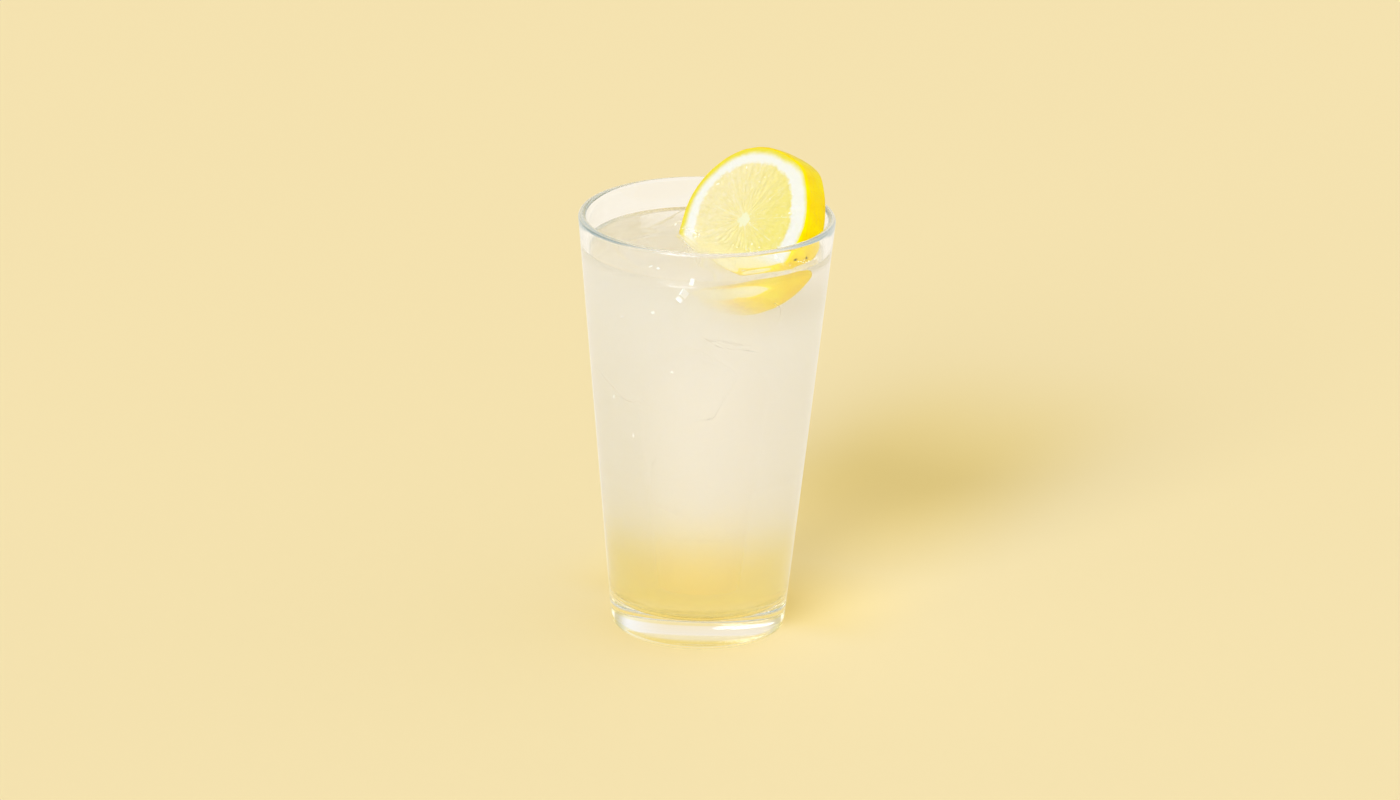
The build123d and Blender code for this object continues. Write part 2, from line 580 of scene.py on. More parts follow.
def ice_cube_points(side, seed):
    """Points and faces of one rounded, slightly hollow and uneven cube about the origin."""
    cuts = 18
    corner_share = 0.36
    chooser = random.Random(seed)
    stretch = [chooser.uniform(0.88, 1.08) for _ in range(3)]
    drift = Vector([chooser.uniform(-50, 50) for _ in range(3)])
    index = {}
    points = []
    faces = []
    for axis in range(3):
        for sign in (-1, 1):
            for i in range(cuts):
                for j in range(cuts):
                    quad = []
                    for di, dj in ((0, 0), (1, 0), (1, 1), (0, 1)):
                        spot = [0, 0, 0]
                        spot[axis] = sign * cuts
                        spot[(axis + 1) % 3] = 2 * (i + di) - cuts
                        spot[(axis + 2) % 3] = 2 * (j + dj) - cuts
                        key = tuple(spot)
                        if key not in index:
                            index[key] = len(points)
                            points.append(key)
                        quad.append(index[key])
                    faces.append(tuple(quad) if sign > 0 else tuple(reversed(quad)))
    shaped = []
    for key in points:
        p = Vector(key) / cuts
        core = Vector([max(-1 + corner_share, min(1 - corner_share, x)) for x in p])
        p = core + corner_share * (p - core).normalized() if (p - core).length > 0 else p
        dent = 0.05 * max(0.0, 1 - 1.4 * (Vector((p.x * p.y, p.y * p.z, p.z * p.x)).length))
        bumps = 0.035 * noise.noise(p * 1.6 + drift) + 0.012 * noise.noise(p * 5.0 + drift)
        p = p * (1 - dent + bumps)
        shaped.append(Vector([p[i] * stretch[i] for i in range(3)]) * side / 2)
    return shaped, faces


# ---------------------------------------------------------------------------
# Drink
# ---------------------------------------------------------------------------


def slice_gap(x, y, z):
    """About how far points are from the slice, in metres, and below 0 inside it."""
    across = np.array(face_across)
    up = np.array(face_up)
    out = np.array(face_out)
    offset = np.stack([x, y, z], axis=-1) - np.array(face_middle)
    u, v, depth = offset @ across, offset @ up, -(offset @ out)
    radial = np.hypot(u, v) - SLICE_RADIUS
    through = np.maximum(-depth, depth - SLICE_THICKNESS)
    outside = np.hypot(np.maximum(radial, 0), np.maximum(through, 0))
    return outside + np.minimum(np.maximum(radial, through), 0)


def ice_swell(x, y, side):
    """How far the drink's skin stands over the three highest cubes."""
    swell = np.zeros_like(x)
    for place, turn, size in ICE_PLACES[:3]:
        inverse = ice_frame(place, turn).inverted()
        half = side * size / 2
        spot = [row[0] * x + row[1] * y + row[2] * DRINK_LEVEL + row[3] for row in inverse]
        gap = np.maximum(np.abs(spot[0]), np.abs(spot[1])) - half * 0.92
        plateau = 1 - smoothstep(-1.6 * MM, 0.9 * MM, gap)
        swell = swell + plateau * 0.55 * MM
        swell = swell - 0.25 * MM * np.exp(-((gap - 1.2 * MM) / (1.0 * MM)) ** 2)
    return swell


def surface_height(x, y, settings, side):
    """Height of the drink's surface: level, with a skin that climbs the glass and the slice."""
    radius = np.hypot(x, y)
    from_wall = inner_radius(DRINK_LEVEL) - radius
    climb = settings.meniscus * np.exp(-np.maximum(from_wall, 0) / (0.5 * MM))
    from_slice = np.maximum(slice_gap(x, y, np.full_like(x, DRINK_LEVEL)), 0)
    climb = np.maximum(climb, 0.4 * MM * np.exp(-from_slice / (0.7 * MM)))
    ripple = np.array([noise.noise(Vector((a, b, 3.1)) * 95.0) for a, b in zip(x.ravel(), y.ravel())])
    fade = smoothstep(0, 5 * MM, from_wall)
    return DRINK_LEVEL + climb + fade * (ice_swell(x, y, side) + 0.09 * MM * ripple.reshape(x.shape))


def clear_drink_material(settings):
    """Water-clear outer drink with a light cloud in it."""
    material, tree, output = new_material("clear_lemonade")
    water = add_node(
        tree,
        "ShaderNodeBsdfPrincipled",
        {"Base Color": (1.0, 1.0, 1.0), "Roughness": 0.0, "IOR": 1.333, "Transmission Weight": 1.0},
    )
    tree.links.new(lets_light_through(tree, water.outputs[0], (0.98, 0.98, 0.96)), output.inputs["Surface"])
    cloud = add_node(
        tree,
        "ShaderNodeVolumeScatter",
        {"Color": (1.0, 1.0, 1.0), "Density": settings.haze_density, "Anisotropy": 0.5},
    )
    tint = add_node(tree, "ShaderNodeVolumeAbsorption", {"Color": (1.0, 0.55, 0.95), "Density": 0.7})
    both = add_node(tree, "ShaderNodeAddShader", {0: cloud.outputs[0], 1: tint.outputs[0]})
    tree.links.new(both.outputs[0], output.inputs["Volume"])
    return material


def cloud_material(settings):
    """The cloud of lemon pulp in the drink, with no skin of its own."""
    material, tree, output = new_material("lemon_cloud")
    cloud = add_node(
        tree,
        "ShaderNodeVolumeScatter",
        {
            "Color": (1.0, 1.0, 1.0),
            "Density": settings.cloud_density / settings.cloud_layers,
            "Anisotropy": 0.5,
        },
    )
    tree.links.new(cloud.outputs[0], output.inputs["Volume"])
    clear = add_node(tree, "ShaderNodeBsdfTransparent", {"Color": (1.0, 1.0, 1.0)})
    tree.links.new(clear.outputs[0], output.inputs["Surface"])
    return material


def cloud_profile(settings, glass, lower):
    """Section of one layer of the cloud: up beside the wall, and over a low dome under the surface."""
    lean = math.atan(WALL_SLOPE)
    inset = settings.cloud_inset * (0.4 + lower / 3)
    corner = glass.floor_corner
    low = INNER_FLOOR + corner
    middle = (inner_radius(low) - corner / math.cos(lean), low)
    wall_top = DRINK_LEVEL - settings.cloud_below - settings.cloud_droop - lower * settings.cloud_step
    edge = inner_radius(wall_top) - inset
    profile = [(0, INNER_FLOOR + inset)]
    profile += straight(profile[-1], (middle[0], INNER_FLOOR + inset), 6)
    profile += arc(middle, corner - inset, -90, -math.degrees(lean), 10)
    profile += straight(profile[-1], (edge, wall_top), 24)
    steps = 24
    for step in range(steps, -1, -1):
        share = step / steps
        profile.append((edge * share, wall_top + settings.cloud_droop * (1 - share**2)))
    return profile


def cloud_dip(points, settings):
    """How much lower each point of the cloud lies, on the side that the slice dips into."""
    side = smoothstep(-6 * MM, 22 * MM, points[:, 0])
    return settings.cloud_lean * side * smoothstep(DRINK_LEVEL - 60 * MM, DRINK_LEVEL - 15 * MM, points[:, 2])


def clear_drink(settings, glass, side):
    """Points and faces of the clear drink: up the wall it reaches into, and in across its surface."""
    segments = 320
    lean = math.degrees(math.atan(WALL_SLOPE))
    reach = settings.reach
    round_in = glass.floor_corner
    low = INNER_FLOOR + round_in
    corner = (inner_radius(low) - round_in / math.cos(math.radians(lean)), low)
    profile = straight((0, INNER_FLOOR - reach), (corner[0], INNER_FLOOR - reach), 6)
    profile += arc(corner, round_in + reach, -90, -lean, 14)
    top = DRINK_LEVEL + settings.meniscus
    profile += straight(profile[-1], (inner_radius(top) + reach, top), 30)
    angles = np.arange(segments) * TURN / segments
    rings = []
    for radius, height in profile:
        rings.append(
            np.stack([radius * np.cos(angles), radius * np.sin(angles), np.full(segments, height)], axis=1)
        )
    steps = 110
    edge = inner_radius(top) + reach
    for step in range(steps):
        share = 1 - step / steps
        radius = edge * (1 - (1 - share) ** 1.35) if share > 0 else 0
        x, y = radius * np.cos(angles), radius * np.sin(angles)
        rings.append(np.stack([x, y, surface_height(x, y, settings, side)], axis=1))
    centre = float(surface_height(np.array([0.0]), np.array([0.0]), settings, side)[0])
    return closed_rings(rings, (0, 0, INNER_FLOOR - reach), (0, 0, centre))


def height_node(tree):
    """The point's height above the table."""
    return add_node(tree, "ShaderNodeSeparateXYZ", {0: object_place(tree)}).outputs["Z"]


def thick_cloud_material(name, settings):
    """The drink's thick middle: yellow where it has settled, paling upwards, with soft drifts in it."""
    material, tree, output = new_material(name)
    place = object_place(tree)
    drift = noise_fac(tree, place, 45.0, detail=3.0, distortion=0.6)
    lifted = maths(
        tree, "ADD", height_node(tree), remap(tree, drift, 0.3, 0.7, -2 * MM, 2 * MM, smooth=False)
    )
    paling = remap(tree, lifted, SYRUP_TOP - 8 * MM, SYRUP_TOP + 17 * MM)
    base = blend(tree, paling, settings.settled, settings.cloudy)
    patches = noise_fac(tree, place, 70.0, detail=4.0, distortion=0.8)
    mottled = blend(tree, remap(tree, patches, 0.35, 0.75, 0.0, 0.2), base, (0.95, 0.95, 0.95), "MULTIPLY")
    body = add_node(
        tree,
        "ShaderNodeBsdfPrincipled",
        {"Base Color": mottled, "Roughness": 0.9, "Specular IOR Level": 0.0},
    )
    tree.links.new(body.outputs[0], output.inputs["Surface"])
    return material


SETTLED_FADE = (SYRUP_TOP - 15 * MM, SYRUP_TOP + 7 * MM)  # from full stain to none
SETTLED_OVERLAP = 19 * MM  # how far the fading stain's piece goes up past the layer
MIDDLE_BELOW = 34 * MM  # from the drink's surface to its thick middle
MIDDLE_ABOVE_FLOOR = 6 * MM
MIDDLE_DOME = 16 * MM  # height of the thick middle's rounded top


def settled_material(settings):
    """Yellow settled lemon that fades upwards into the cloudy drink."""
    material, tree, output = new_material("settled_lemon")
    place = object_place(tree)
    drift = noise_fac(tree, place, 60.0, detail=2.0)
    lifted = maths(
        tree, "ADD", height_node(tree), remap(tree, drift, 0.3, 0.7, -2 * MM, 2 * MM, smooth=False)
    )
    strength = remap(tree, lifted, *SETTLED_FADE, settings.settled_density, 0.0)
    stain = add_node(tree, "ShaderNodeVolumeAbsorption", {"Color": (1.0, 0.90, 0.06), "Density": strength})
    tree.links.new(stain.outputs[0], output.inputs["Volume"])
    clear = add_node(tree, "ShaderNodeBsdfTransparent", {"Color": (1.0, 1.0, 1.0)})
    tree.links.new(clear.outputs[0], output.inputs["Surface"])
    return material


def middle_rings(bottom, top, settings, dome):
    """Rings of the cloud's thick middle between two heights."""
    segments = 128
    angles = np.arange(segments) * TURN / segments
    rings = []
    steps = max(8, int((top - bottom) / (2 * MM)))
    for step in range(steps + 1):
        height = bottom + (top - bottom) * step / steps
        radius = inner_radius(height) - settings.cloud_depth
        share = (height - top + dome) / dome if dome > 0 and height > top - dome else 0.0
        radius = radius * math.sqrt(max(0.0, 1 - 0.92 * share**2))
        rings.append(
            np.stack([radius * np.cos(angles), radius * np.sin(angles), np.full(segments, height)], axis=1)
        )
    return rings


def settled_profile(settings, glass):
    """Section of the settled layer, from the floor up the wall and in across its fading top."""
    lean = math.atan(WALL_SLOPE)
    reach = settings.reach / 2
    low = INNER_FLOOR + glass.floor_corner
    corner = (inner_radius(low) - glass.floor_corner / math.cos(lean), low)
    top = SYRUP_TOP + SETTLED_OVERLAP
    profile = [(0, INNER_FLOOR - reach)]
    profile += straight(profile[-1], (corner[0], INNER_FLOOR - reach), 6)
    profile += arc(corner, glass.floor_corner + reach, -90, -math.degrees(lean), 14)
    profile += straight(profile[-1], (inner_radius(top) + reach, top), 12)
    profile.append((inner_radius(top) + reach, top))
    profile += straight(profile[-1], (0, top), 6)
    profile.append((0, top))
    return profile


class LEMONADE_OT_drink(bpy.types.Operator):
    """Fill the glass: settled lemon layer, cloudy lemonade and its thick middle"""

    bl_idname = "lemonade.drink"
    bl_label = "Drink"

    def execute(self, context):
        settings = context.scene.lemonade_drink
        glass = context.scene.lemonade_glass
        side = context.scene.lemonade_ice.size
        clear = make_object(
            "lemonade_body", *clear_drink(settings, glass, side), clear_drink_material(settings)
        )
        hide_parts("lemonade", "lemon_syrup")
        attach(clear, "root")
        cloudy = cloud_material(settings)
        for lower in range(settings.cloud_layers):
            points, faces = turned(cloud_profile(settings, glass, lower), 160)
            points[:, 2] -= cloud_dip(points, settings)
            haze = make_object(f"lemonade_cloud_{lower + 1}", points, faces, cloudy)
            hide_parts("lemonade")
            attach(haze, "root")
        layer = make_object(
            "lemon_syrup_layer", *turned(settled_profile(settings, glass), 160), settled_material(settings)
        )
        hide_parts("lemon_syrup")
        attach(layer, "root")
        cloud_top = DRINK_LEVEL - MIDDLE_BELOW
        rings = middle_rings(SYRUP_TOP, cloud_top, settings, MIDDLE_DOME)
        points, faces = closed_rings(rings, (0, 0, SYRUP_TOP), (0, 0, cloud_top))
        cloud = make_object(
            "lemonade_middle", points, faces, thick_cloud_material("cloudy_lemonade", settings)
        )
        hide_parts("lemonade")
        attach(cloud, "root")
        foot = INNER_FLOOR + MIDDLE_ABOVE_FLOOR
        rings = middle_rings(foot, SYRUP_TOP, settings, 0)
        points, faces = closed_rings(rings, (0, 0, foot), (0, 0, SYRUP_TOP))
        pulp = make_object(
            "lemon_syrup_middle", points, faces, thick_cloud_material("settled_pulp", settings)
        )
        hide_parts("lemon_syrup")
        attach(pulp, "root")
        return {"FINISHED"}


def ice_material():
    """Ice in the drink: nearly the drink's own clearness, with a faint waviness."""
    material, tree, output = new_material("clear_ice")
    place = object_place(tree)
    waves = noise_fac(tree, place, 160.0, detail=3.0)
    bump = add_node(tree, "ShaderNodeBump", {"Height": waves, "Strength": 0.5, "Distance": 0.0004})
    ice = add_node(
        tree,
        "ShaderNodeBsdfPrincipled",
        {
            "Base Color": (1.0, 1.0, 1.0),
            "Roughness": 0.02,
            "IOR": 1.018,
            "Transmission Weight": 1.0,
            "Normal": bump.outputs[0],
        },
    )
    tree.links.new(lets_light_through(tree, ice.outputs[0], (1.0, 1.0, 1.0)), output.inputs["Surface"])
    return material


class LEMONADE_OT_ice(bpy.types.Operator):
    """Sink the ice cubes in the drink"""

    bl_idname = "lemonade.ice"
    bl_label = "Ice"

    def execute(self, context):
        settings = context.scene.lemonade_ice
        points, faces = [], []
        for number, (place, turn, size) in enumerate(ICE_PLACES):
            stands = ice_frame(place, turn)
            cube, quads = ice_cube_points(settings.size * size, settings.seed + number)
            first = len(points)
            points += [stands @ p for p in cube]
            faces += [tuple(first + i for i in quad) for quad in quads]
        ice = make_object("ice_cubes", points, faces, ice_material())
        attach(ice, "root")
        return {"FINISHED"}


# ---------------------------------------------------------------------------
# Bubbles, and chips of ice that partly stand in as painted glints, grown by node trees on carriers
# ---------------------------------------------------------------------------

# Where a white chip of ice sits just inside the wall, in millimetres, and its size beside a typical chip. The
# chips are partly frosty ice and partly painted glints, set where highlights show.
GLINT_CHIP_PLACES = (
    ((-7.0, -38.4, 133.6), 1.25),
    ((-4.4, -39.2, 138.0), 1.0),
    ((-17.0, -34.3, 125.2), 0.85),
    ((-16.0, -27.0, 138.2), 0.7),
    ((-18.5, -25.0, 138.2), 0.55),
    ((-8.5, -37.0, 131.0), 0.6),
    ((-27.0, -27.0, 121.0), 0.4),
    ((-10.3, -35.5, 104.2), 0.45),
    ((-29.0, -19.5, 89.5), 0.4),
    ((-22.5, -25.0, 77.5), 0.45),
)


def grain_tree(name, spread):
    """A node tree that sets grains on a carrier: spread over its faces, or one at each of its points."""
    tree = bpy.data.node_groups.new(name, "GeometryNodeTree")
    sockets = (
        ("Crowd", "NodeSocketFloat"),
        ("Size", "NodeSocketFloat"),
        ("Unevenness", "NodeSocketFloat"),
        ("Seed", "NodeSocketInt"),
        ("Material", "NodeSocketMaterial"),
    )
    tree.interface.new_socket("Geometry", in_out="INPUT", socket_type="NodeSocketGeometry")
    tree.interface.new_socket("Geometry", in_out="OUTPUT", socket_type="NodeSocketGeometry")
    for title, kind in sockets:
        tree.interface.new_socket(title, in_out="INPUT", socket_type=kind)
    given = tree.nodes.new("NodeGroupInput").outputs
    share = add_node(
        tree, "GeometryNodeInputNamedAttribute", {"Name": "share"}, data_type="FLOAT"
    ).outputs["Attribute"]
    places = given["Geometry"]
    scale = maths(tree, "MULTIPLY", given["Size"], share)
    if spread:
        crowd = maths(tree, "MULTIPLY", given["Crowd"], share)
        places = add_node(
            tree,
            "GeometryNodeDistributePointsOnFaces",
            {"Mesh": places, "Density": crowd, "Seed": given["Seed"]},
        ).outputs["Points"]
        scale = given["Size"]
    low = maths(tree, "SUBTRACT", 1.0, given["Unevenness"])
    high = maths(tree, "ADD", 1.0, given["Unevenness"])
    uneven = add_node(
        tree, "FunctionNodeRandomValue", {0: low, 1: high, "Seed": given["Seed"]}, data_type="FLOAT_VECTOR"
    )
    stretch = add_node(
        tree,
        "ShaderNodeVectorMath",
        {0: uneven.outputs[0], "Scale": scale},
        operation="SCALE",
    ).outputs["Vector"]
    turn = add_node(
        tree,
        "FunctionNodeRandomValue",
        {0: (0.0, 0.0, 0.0), 1: (TURN, TURN, TURN), "Seed": given["Seed"]},
        data_type="FLOAT_VECTOR",
    )
    if spread:
        grain = add_node(
            tree, "GeometryNodeMeshIcoSphere", {"Radius": 1.0, "Subdivisions": 2}
        ).outputs["Mesh"]
    else:
        grain = add_node(tree, "GeometryNodeMeshCube", {"Size": (2.1, 1.5, 0.7)}).outputs["Mesh"]
    grain = add_node(
        tree, "GeometryNodeSetShadeSmooth", {"Geometry": grain, "Shade Smooth": spread}
    ).outputs[0]
    grains = add_node(
        tree,
        "GeometryNodeInstanceOnPoints",
        {"Points": places, "Instance": grain, "Rotation": turn.outputs[0], "Scale": stretch},
    ).outputs[0]
    grains = add_node(tree, "GeometryNodeRealizeInstances", {"Geometry": grains}).outputs[0]
    made = add_node(
        tree, "GeometryNodeSetMaterial", {"Geometry": grains, "Material": given["Material"]}
    ).outputs[0]
    output = tree.nodes.new("NodeGroupOutput")
    tree.links.new(made, output.inputs["Geometry"])
    return tree


def grown(name, carrier, tree, values):
    """The plain mesh that a node tree grows on a carrier, which goes."""
    modifier = carrier.modifiers.new("grow", "NODES")
    modifier.node_group = tree
    for item in tree.interface.items_tree:
        if item.item_type == "SOCKET" and item.in_out == "INPUT" and item.name in values:
            modifier[item.identifier] = values[item.name]
    bpy.context.view_layer.update()
    mesh = bpy.data.meshes.new_from_object(carrier.evaluated_get(bpy.context.evaluated_depsgraph_get()))
    if len(mesh.polygons) == 0:
        raise RuntimeError(name + " grew nothing")
    mesh.name = name
    bpy.data.objects.remove(carrier)
    made = bpy.data.objects.new(name, mesh)
    bpy.context.scene.collection.objects.link(made)
    return made


def bubble_carrier(settings, drink, side):
    """The drink's surface, with how crowded it is with bubbles: along the wall and along the slice."""
    segments, steps = 220, 60
    angles = np.arange(segments) * TURN / segments
    points, shares = [], []
    edge = inner_radius(DRINK_LEVEL) - 0.35 * MM
    for step in range(steps):
        radius = edge * (1 - 0.8 * (step / (steps - 1)) ** 1.6)
        x, y = radius * np.cos(angles), radius * np.sin(angles)
        height = surface_height(x, y, drink, side)
        gap = slice_gap(x, y, height)
        by_slice = np.exp(-((np.maximum(gap, 0) / settings.by_slice) ** 2)) * (gap > 0.2 * MM)
        by_wall = np.exp(-(((edge - radius) / settings.by_wall) ** 2)) * (gap > 0.5 * MM)
        patches = np.array([noise.noise(Vector((a, b, 8.3)) * 140.0) for a, b in zip(x, y)])
        patches = smoothstep(-0.1, 0.45, patches)
        points.append(np.stack([x, y, height - 0.06 * MM], axis=1))
        shares.append(np.clip(0.9 * by_slice * (0.35 + patches) + 0.22 * by_wall * patches, 0, 1))
    carrier = make_object("bubble_carrier", np.concatenate(points), ring_faces(steps, segments), None)
    set_attribute(carrier, "share", np.concatenate(shares))
    return carrier


def bubble_material():
    """Thin-skinned bubbles: pale, glossy and half clear, with a painted glow that keeps them pale where they
    are unlit.
    """
    material, tree, output = new_material("drink_bubbles")
    film = noise_fac(tree, object_place(tree), 900.0, detail=2.0)
    tone = ramp(tree, film, ((0.3, (0.90, 0.87, 0.74)), (0.7, (0.98, 0.97, 0.93))))
    skin = add_node(
        tree,
        "ShaderNodeBsdfPrincipled",
        {
            "Base Color": tone,
            "Roughness": 0.12,
            "IOR": 1.333,
            # Painted light: a faint glow stands in for light on the bubbles' shaded sides.
            "Emission Color": (0.95, 0.90, 0.72),
            "Emission Strength": 0.3,
        },
    )
    clear = add_node(tree, "ShaderNodeBsdfTransparent", {"Color": (1.0, 1.0, 1.0)})
    grazing = add_node(tree, "ShaderNodeLayerWeight", {"Blend": 0.45}).outputs["Facing"]
    cover = remap(tree, grazing, 0.0, 0.8, 0.35, 0.85)
    both = add_node(tree, "ShaderNodeMixShader", {0: cover, 1: clear.outputs[0], 2: skin.outputs[0]})
    tree.links.new(both.outputs[0], output.inputs["Surface"])
    return material


def glint_chip_material():
    """White, frosty chips of ice, whose white is partly painted glints of light."""
    material, tree, output = new_material("ice_glint_chip")
    frost = noise_fac(tree, object_place(tree), 1400.0, detail=2.0)
    tone = ramp(tree, frost, ((0.3, (0.88, 0.90, 0.90)), (0.6, (0.99, 0.99, 0.98))))
    chip = add_node(
        tree,
        "ShaderNodeBsdfPrincipled",
        {
            "Base Color": tone,
            "Roughness": 0.18,
            "IOR": 1.31,
            "Subsurface Weight": 0.1,
            "Subsurface Scale": 0.001,
        },
    )
    tree.links.new(chip.outputs[0], output.inputs["Surface"])
    return material


class LEMONADE_OT_bubbles(bpy.types.Operator):
    """Grow the small bubbles along the wall and the slice"""

    bl_idname = "lemonade.bubbles"
    bl_label = "Bubbles"

    def execute(self, context):
        settings = context.scene.lemonade_grains
        carrier = bubble_carrier(settings, context.scene.lemonade_drink, context.scene.lemonade_ice.size)
        values = {
            "Crowd": settings.bubble_crowd,
            "Size": settings.bubble_size,
            "Unevenness": 0.3,
            "Seed": settings.seed,
            "Material": bubble_material(),
        }
        bubbles = grown("drink_bubbles", carrier, grain_tree("bubble_growth", True), values)
        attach(bubbles, "root")
        return {"FINISHED"}


class LEMONADE_OT_chips(bpy.types.Operator):
    """Set the white chips of ice inside the wall, partly frosty ice and partly painted glints"""

    bl_idname = "lemonade.chips"
    bl_label = "Chips of ice"

    def execute(self, context):
        settings = context.scene.lemonade_grains
        carrier = make_object("chip_carrier", [Vector(place) * MM for place, _ in GLINT_CHIP_PLACES], [], None)
        set_attribute(carrier, "share", np.array([size for _, size in GLINT_CHIP_PLACES]))
        values = {
            "Crowd": 0.0,
            "Size": settings.chip_size,
            "Unevenness": 0.55,
            "Seed": settings.seed + 3,
            "Material": glint_chip_material(),
        }
        chips = grown("ice_glint_chips", carrier, grain_tree("chip_growth", False), values)
        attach(chips, "root")
        return {"FINISHED"}


# ---------------------------------------------------------------------------
# Slice of lemon
# ---------------------------------------------------------------------------

# Places on the rind, as degrees round the slice and millimetres behind its face.
RIND_SCARS = ((-16.3, 2.2, 0.95), (-10.6, 5.6, 0.85))
# Flats and corners of the lemon's outline: degrees, share of the radius, and width in degrees.
OUTLINE_BUMPS = ((58, 0.024, 10), (27, -0.017, 15), (84, -0.006, 12), (128, 0.006, 14), (-62, 0.008, 18))


def membrane_angles(settings):
    """Where the slice's membranes run from its core, unevenly spaced."""
    chooser = random.Random(settings.seed)
    gap = TURN / settings.segment_count
    return [(number + chooser.uniform(-0.16, 0.16)) * gap + 0.35 for number in range(settings.segment_count)]


def outline_share(angle):
    """The slice's outline beside a true circle."""
    share = 0.998 + 0.0025 * math.sin(3 * angle + 2.0) + 0.002 * math.sin(7 * angle)
    for middle, rise, width in OUTLINE_BUMPS:
        off = (math.degrees(angle) - middle + 180) % 360 - 180
        share += rise * math.exp(-((off / width) ** 2))
    return share


def back_depth(u, v):
    """Depth of the slice's back behind its face, at a place across and up the face."""
    away = SLICE_FROM_WORLD.to_3x3() @ back_out
    spot = SLICE_FROM_WORLD @ back_middle
    return -(spot.z - (away.x * (u - spot.x) + away.y * (v - spot.y)) / away.z)


def nearest_membrane(radius, angle, membranes):
    """How far a place on the face is from the nearest membrane."""
    return min(abs(math.sin(angle - m)) * radius if math.cos(angle - m) > 0 else radius for m in membranes)


def flesh_relief(radius, angle, settings, membranes, side):
    """Height of the cut face: plump juice sacs that run out from the core, between sunken membranes."""
    flesh_radius = FACE_RADIUS - settings.rind - settings.pith
    if radius > flesh_radius + 1.5 * MM:
        return 0.0
    lines = nearest_membrane(radius, angle, membranes)
    inside = 1 - float(smoothstep(flesh_radius - 0.9 * MM, flesh_radius + 0.5 * MM, radius))
    between = float(smoothstep(0.1 * MM, 1.3 * MM, lines)) * float(smoothstep(1.5 * MM, 3.5 * MM, radius))
    drift = Vector((3.7 * settings.seed + 9.0 * side, 1.3, 8.1))
    sac = noise.voronoi(Vector((angle * 9.0, radius / (4.6 * MM), 0)) + drift)[0][0]
    plump = 0.30 * MM * (1 - min(1.0, sac * sac * 2.0))
    lumpy = 0.10 * MM * noise.noise(
        Vector((radius * math.cos(angle), radius * math.sin(angle), 0)) / (1.6 * MM) + drift
    )
    return inside * between * (plump + lumpy - 0.16 * MM) - 0.07 * MM * inside * (1 - between)


def rind_swell(angle, depth, radius):
    """How far the rind's skin stands from its smooth curve: pores, lumps and two sunken scars."""
    spot = Vector((math.cos(angle) * radius, math.sin(angle) * radius, depth))
    pore = noise.voronoi(spot / (1.5 * MM))[0][0]
    swell = 0.12 * MM * noise.noise(spot / (4.0 * MM)) - 0.10 * MM * math.exp(-((pore / 0.28) ** 2))
    for scar_angle, scar_depth, scar_size in RIND_SCARS:
        along = radius * math.radians(math.degrees(angle) - scar_angle)
        gap = math.hypot(along, depth - scar_depth * MM) / (scar_size * MM)
        swell -= 0.12 * MM * math.exp(-(gap**2))
    return swell


def slice_rings(settings):
    """Rings of the slice in its own frame, from the back's middle round the rind to the face's middle."""
    segments = 300
    face_steps = 74
    side_steps = 24
    edge_round = 0.7 * MM
    angles = [TURN * (j / segments - 0.5) for j in range(segments)]
    shares = [outline_share(angle) for angle in angles]
    membranes = membrane_angles(settings)
    rings, inward, radial, gaps = [], [], [], []

    def add_ring(radii, depths, edges):
        ring = []
        for angle, r, d, edge in zip(angles, radii, depths, edges):
            ring.append((r * math.cos(angle), r * math.sin(angle), -d))
            inward.append((edge - r) / MM if edge else -1.0)
            radial.append(r / MM)
            gaps.append(nearest_membrane(r, angle, membranes) / MM)
        rings.append(np.array(ring))

    back_edges = []
    for angle, share in zip(angles, shares):
        edge = FACE_RADIUS
        for _ in range(4):
            edge = rind_radius(back_depth(edge * math.cos(angle), edge * math.sin(angle))) * share
        back_edges.append(edge)
    # Back, from its middle out.
    for step in range(1, face_steps + 1):
        radii = [(edge - edge_round) * step / face_steps for edge in back_edges]
        depths = []
        for r, a in zip(radii, angles):
            depths.append(
                back_depth(r * math.cos(a), r * math.sin(a)) + flesh_relief(r, a, settings, membranes, 1)
            )
        add_ring(radii, depths, back_edges)
    # Round on to the rind, along it, and round on to the face.
    far = [back_depth(edge * math.cos(a), edge * math.sin(a)) for edge, a in zip(back_edges, angles)]
    for step in range(1, 6):
        turn = math.pi / 2 * step / 6
        radii = [edge - edge_round * (1 - math.sin(turn)) for edge in back_edges]
        depths = [depth - edge_round * (1 - math.cos(turn)) for depth in far]
        add_ring(radii, depths, [0] * segments)
    for step in range(side_steps + 1):
        share = 1 - step / side_steps
        radii, depths = [], []
        for angle, depth, round_share in zip(angles, far, shares):
            d = edge_round + (depth - 2 * edge_round) * share
            r = rind_radius(d) * round_share
            radii.append(r + rind_swell(angle, d, r))
            depths.append(d)
        add_ring(radii, depths, [0] * segments)
    face_edges = [FACE_RADIUS * share for share in shares]
    for step in range(1, 6):
        turn = math.pi / 2 * (1 - step / 6)
        radii = [edge - edge_round * (1 - math.sin(turn)) for edge in face_edges]
        add_ring(radii, [edge_round * (1 - math.cos(turn))] * segments, [0] * segments)
    for step in range(face_steps, 0, -1):
        radii = [(edge - edge_round) * step / face_steps for edge in face_edges]
        depths = [-flesh_relief(r, a, settings, membranes, 0) for r, a in zip(radii, angles)]
        add_ring(radii, depths, face_edges)
    for _ in range(2):
        inward.append(FACE_RADIUS / MM)
        radial.append(0.0)
        gaps.append(0.0)
    poles = ((0, 0, -back_depth(0, 0)), (0, 0, 0))
    return rings, poles, inward, radial, gaps


def slice_place(tree):
    """The point's place in the slice's own frame, in metres: across the face, up it and out of it."""
    return add_node(
        tree,
        "ShaderNodeMapping",
        {
            "Vector": object_place(tree),
            "Location": SLICE_FROM_WORLD.translation[:],
            "Rotation": SLICE_FROM_WORLD.to_euler()[:],
        },
        vector_type="POINT",
    ).outputs[0]


